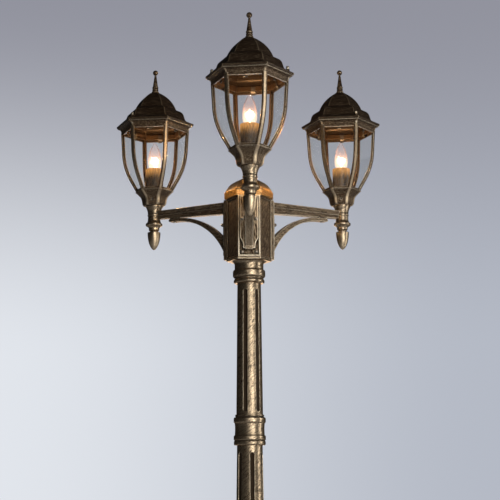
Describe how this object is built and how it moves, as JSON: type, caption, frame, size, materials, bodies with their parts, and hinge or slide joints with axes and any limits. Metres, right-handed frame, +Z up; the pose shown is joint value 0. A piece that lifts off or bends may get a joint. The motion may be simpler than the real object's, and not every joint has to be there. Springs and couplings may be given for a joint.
{
  "type": "park light",
  "caption": "Cast park light: fluted round post on a bolted bell base, hexagonal hub and arms with curved braces that carry six-sided glazed lanterns with two-tier roofs and candle bulbs.",
  "frame": {"origin": "on the post's axis, at the underside of the base flange, which is the centre of the anchor bolt circle", "axes": "+Z up along the post; -Y towards the front lantern; +X to the right when the front lantern is nearest"},
  "size_m": [0.707, 0.6262, 2.1984],
  "materials": {
    "antique_casting": "cast, brown-black antique paint dry-brushed with gold along edges and raised faces",
    "pane_glass": "clear, polished",
    "bulb_glass": "clear, lit warm from inside",
    "bulb_brass": "bright",
    "holder_ceramic": "matt white",
    "sleeve_bronze": "brushed bronze paint with upright streaks",
    "fixing_steel": "plated, dulled",
    "terminal_plastic": "moulded",
    "lead_rubber": "satin"
  },
  "bodies": {
    "post": {"base": "antique_casting", "lower_shaft": "antique_casting", "middle_shaft": "antique_casting", "upper_shaft": "antique_casting", "lower_collar": "antique_casting", "middle_collar": "antique_casting", "post_head": "antique_casting", "hub_body": "antique_casting", "tie_rod": "fixing_steel", "tie_rod_nuts": "fixing_steel", "terminal_block": "terminal_plastic", "lantern_leads": "lead_rubber", "arm_screws": "fixing_steel", "front_arm": "antique_casting", "front_brace": "antique_casting", "front_neck": "antique_casting", "front_pendant": "antique_casting", "right_arm": "antique_casting", "right_brace": "antique_casting", "right_neck": "antique_casting", "right_pendant": "antique_casting", "left_arm": "antique_casting", "left_brace": "antique_casting", "left_neck": "antique_casting", "left_pendant": "antique_casting"},
    "hub_lid": {"hub_cap": "antique_casting", "hub_cap_nut": "antique_casting"},
    "front_lantern": {"front_cup": "antique_casting", "front_cage": "antique_casting", "front_panes": "pane_glass", "front_fixings": "fixing_steel", "front_lampholder": "holder_ceramic", "front_sleeve": "sleeve_bronze"},
    "front_lid": {"front_roof": "antique_casting", "front_finial": "antique_casting", "front_roof_knobs": "antique_casting"},
    "front_bulb": {"front_bulb_glass": "bulb_glass", "front_bulb_cap": "bulb_brass"},
    "right_lantern": {"right_cup": "antique_casting", "right_cage": "antique_casting", "right_panes": "pane_glass", "right_fixings": "fixing_steel", "right_lampholder": "holder_ceramic", "right_sleeve": "sleeve_bronze"},
    "right_lid": {"right_roof": "antique_casting", "right_finial": "antique_casting", "right_roof_knobs": "antique_casting"},
    "right_bulb": {"right_bulb_glass": "bulb_glass", "right_bulb_cap": "bulb_brass"},
    "left_lantern": {"left_cup": "antique_casting", "left_cage": "antique_casting", "left_panes": "pane_glass", "left_fixings": "fixing_steel", "left_lampholder": "holder_ceramic", "left_sleeve": "sleeve_bronze"},
    "left_lid": {"left_roof": "antique_casting", "left_finial": "antique_casting", "left_roof_knobs": "antique_casting"},
    "left_bulb": {"left_bulb_glass": "bulb_glass", "left_bulb_cap": "bulb_brass"}
  },
  "joints": [
    {"name": "front_lantern_turn", "type": "hinge", "parent": "post", "child": "front_lantern", "pos_m": [0, -0.288, 1.822], "axis": [0, 0, 1], "range_deg": [-180, 180]},
    {"name": "front_roof_lift", "type": "slide", "parent": "front_lantern", "child": "front_lid", "axis": [0, 0, 1], "range_m": [0, 0.2]},
    {"name": "front_bulb_out", "type": "slide", "parent": "front_lantern", "child": "front_bulb", "axis": [0, 0, 1], "range_m": [0, 0.06]},
    {"name": "right_lantern_turn", "type": "hinge", "parent": "post", "child": "right_lantern", "pos_m": [0.24941, 0.144, 1.822], "axis": [0, 0, 1], "range_deg": [-180, 180]},
    {"name": "right_roof_lift", "type": "slide", "parent": "right_lantern", "child": "right_lid", "axis": [0, 0, 1], "range_m": [0, 0.2]},
    {"name": "right_bulb_out", "type": "slide", "parent": "right_lantern", "child": "right_bulb", "axis": [0, 0, 1], "range_m": [0, 0.06]},
    {"name": "left_lantern_turn", "type": "hinge", "parent": "post", "child": "left_lantern", "pos_m": [-0.24941, 0.144, 1.822], "axis": [0, 0, 1], "range_deg": [-180, 180]},
    {"name": "left_roof_lift", "type": "slide", "parent": "left_lantern", "child": "left_lid", "axis": [0, 0, 1], "range_m": [0, 0.2]},
    {"name": "left_bulb_out", "type": "slide", "parent": "left_lantern", "child": "left_bulb", "axis": [0, 0, 1], "range_m": [0, 0.06]},
    {"name": "hub_cap_lift", "type": "slide", "parent": "post", "child": "hub_lid", "axis": [0, 0, 1], "range_m": [0, 0.12]}
  ]
}
